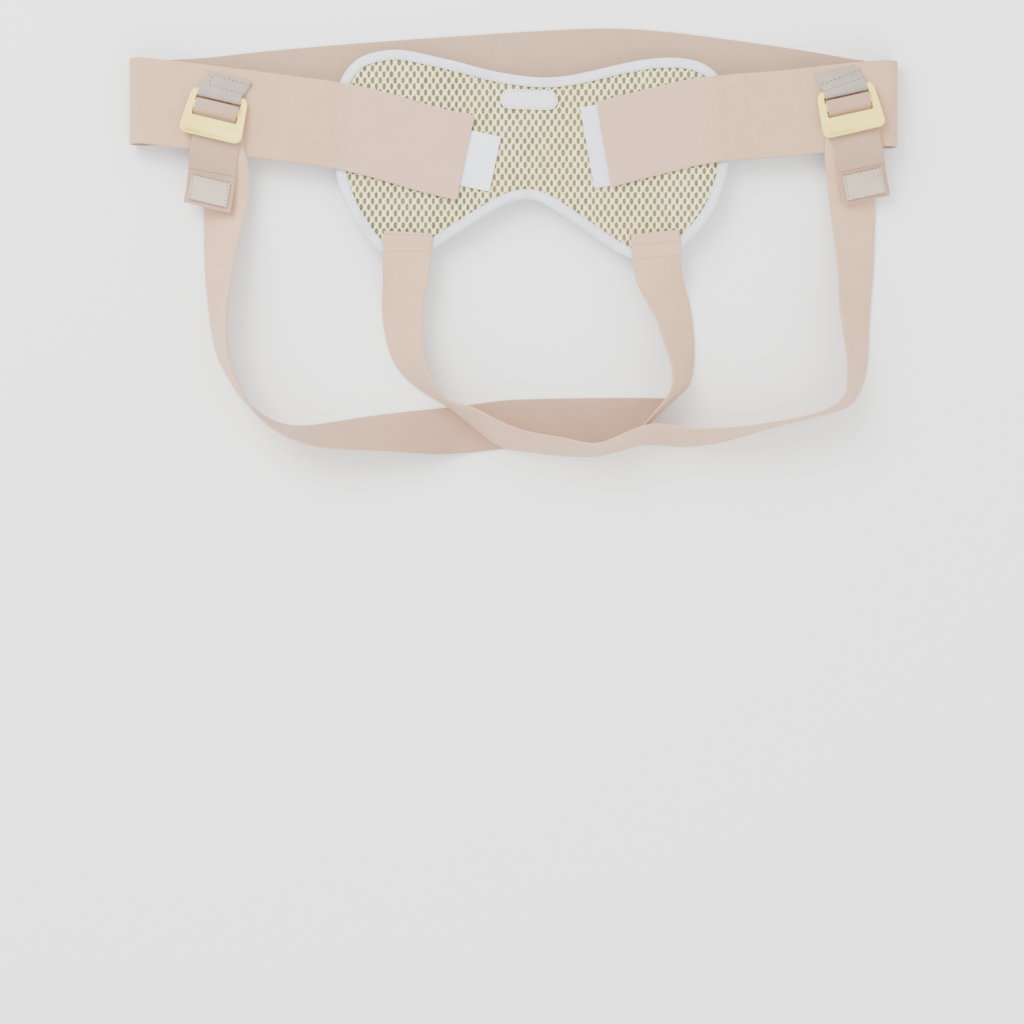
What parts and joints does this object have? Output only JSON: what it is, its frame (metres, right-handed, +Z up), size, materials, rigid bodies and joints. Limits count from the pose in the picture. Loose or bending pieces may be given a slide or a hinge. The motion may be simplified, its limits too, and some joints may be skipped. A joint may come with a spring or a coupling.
{
  "type": "hernia belt",
  "caption": "Elastic hernia belt lying flat: waist band, butterfly mesh front panel with velour pads behind it, and crossed leg straps on plastic slides.",
  "frame": {"origin": "on the floor under the middle of the laid-out belt", "axes": "+X along the waist band, to the right in the front view; +Y from the leg straps to the back of the band; +Z up, out of the belt's front"},
  "size_m": [0.536, 0.3008, 0.0366],
  "materials": {
    "elastic": "matt ribbed elastic webbing, pale skin tone",
    "spacer_mesh": "cream net over an olive-grey ground",
    "white_cloth": "matt white cloth and ribbon",
    "velour": "very dark brown velour",
    "grey_ribbon": "grey-beige woven ribbon and hook patch",
    "hook_tape": "white nylon hook tape",
    "buckle_plastic": "pale yellow moulded plastic, satin gloss"
  },
  "bodies": {
    "root": {"waist_band": "elastic", "panel_mesh": "spacer_mesh", "panel_lining": "white_cloth", "panel_binding": "white_cloth", "pad_base_left": "white_cloth", "pad_base_right": "white_cloth", "pad_face_left": "velour", "pad_face_right": "velour", "leg_strap_left": "elastic", "leg_strap_right": "elastic", "strap_hook_patch_left": "grey_ribbon", "strap_hook_patch_right": "grey_ribbon", "buckle_left": "buckle_plastic", "buckle_right": "buckle_plastic", "buckle_loop_left": "grey_ribbon", "buckle_loop_right": "grey_ribbon", "band_hook_tape_left": "hook_tape", "band_hook_tape_right": "hook_tape", "label_patch": "white_cloth"}
  },
  "joints": []
}
